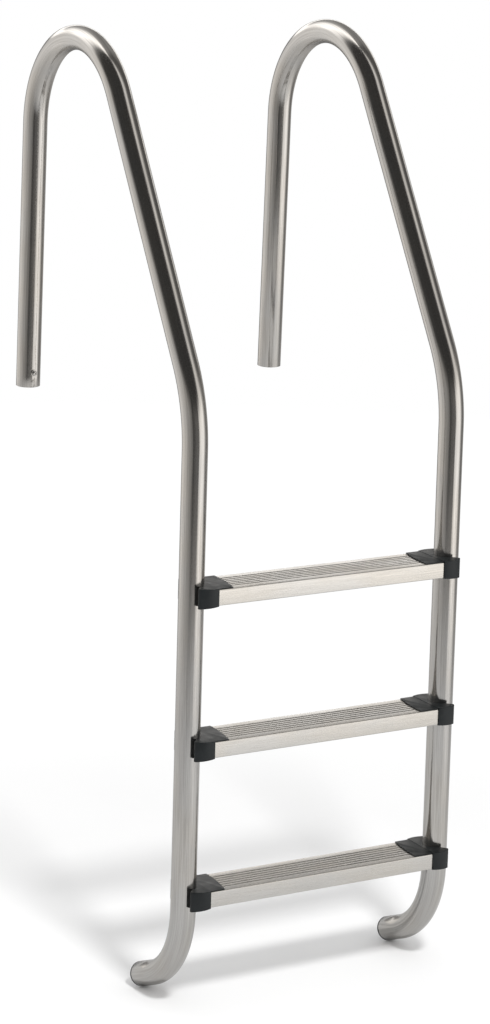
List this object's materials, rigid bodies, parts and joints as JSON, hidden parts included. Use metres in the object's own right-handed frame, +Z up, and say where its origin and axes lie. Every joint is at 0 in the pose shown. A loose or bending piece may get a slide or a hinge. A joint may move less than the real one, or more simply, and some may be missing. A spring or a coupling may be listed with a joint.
{
  "type": "pool ladder",
  "caption": "In-ground pool ladder of bent satin steel tube with grab loops, deck legs and wall hooks, and ribbed steel treads held by black saddle end caps.",
  "frame": {"origin": "midway between the centres of the two deck legs at their lower ends", "axes": "+X across the ladder from the left rail to the right, +Y from the water towards the deck, +Z up"},
  "size_m": [0.543, 0.6841, 1.6237],
  "materials": {
    "satin_steel": "satin, polished lengthwise",
    "tread_steel": "satin sheet with lengthwise grain",
    "cap_plastic": "satin moulded charcoal plastic",
    "plug_rubber": "matt black rubber",
    "fastener_steel": "plain stainless fasteners"
  },
  "bodies": {
    "root": {"rail_left": "satin_steel", "rail_right": "satin_steel", "foot_plug_left": "plug_rubber", "foot_plug_right": "plug_rubber", "tread_top": "tread_steel", "end_cap_top_left": "cap_plastic", "tread_bolt_top_left": "fastener_steel", "tread_washer_top_left": "fastener_steel", "rivet_nut_top_left": "fastener_steel", "end_cap_top_right": "cap_plastic", "tread_bolt_top_right": "fastener_steel", "tread_washer_top_right": "fastener_steel", "rivet_nut_top_right": "fastener_steel", "tread_middle": "tread_steel", "end_cap_middle_left": "cap_plastic", "tread_bolt_middle_left": "fastener_steel", "tread_washer_middle_left": "fastener_steel", "rivet_nut_middle_left": "fastener_steel", "end_cap_middle_right": "cap_plastic", "tread_bolt_middle_right": "fastener_steel", "tread_washer_middle_right": "fastener_steel", "rivet_nut_middle_right": "fastener_steel", "tread_bottom": "tread_steel", "end_cap_bottom_left": "cap_plastic", "tread_bolt_bottom_left": "fastener_steel", "tread_washer_bottom_left": "fastener_steel", "rivet_nut_bottom_left": "fastener_steel", "end_cap_bottom_right": "cap_plastic", "tread_bolt_bottom_right": "fastener_steel", "tread_washer_bottom_right": "fastener_steel", "rivet_nut_bottom_right": "fastener_steel", "bonding_screw": "fastener_steel", "bonding_washer": "fastener_steel", "bonding_rivet_nut": "fastener_steel"}
  },
  "joints": []
}
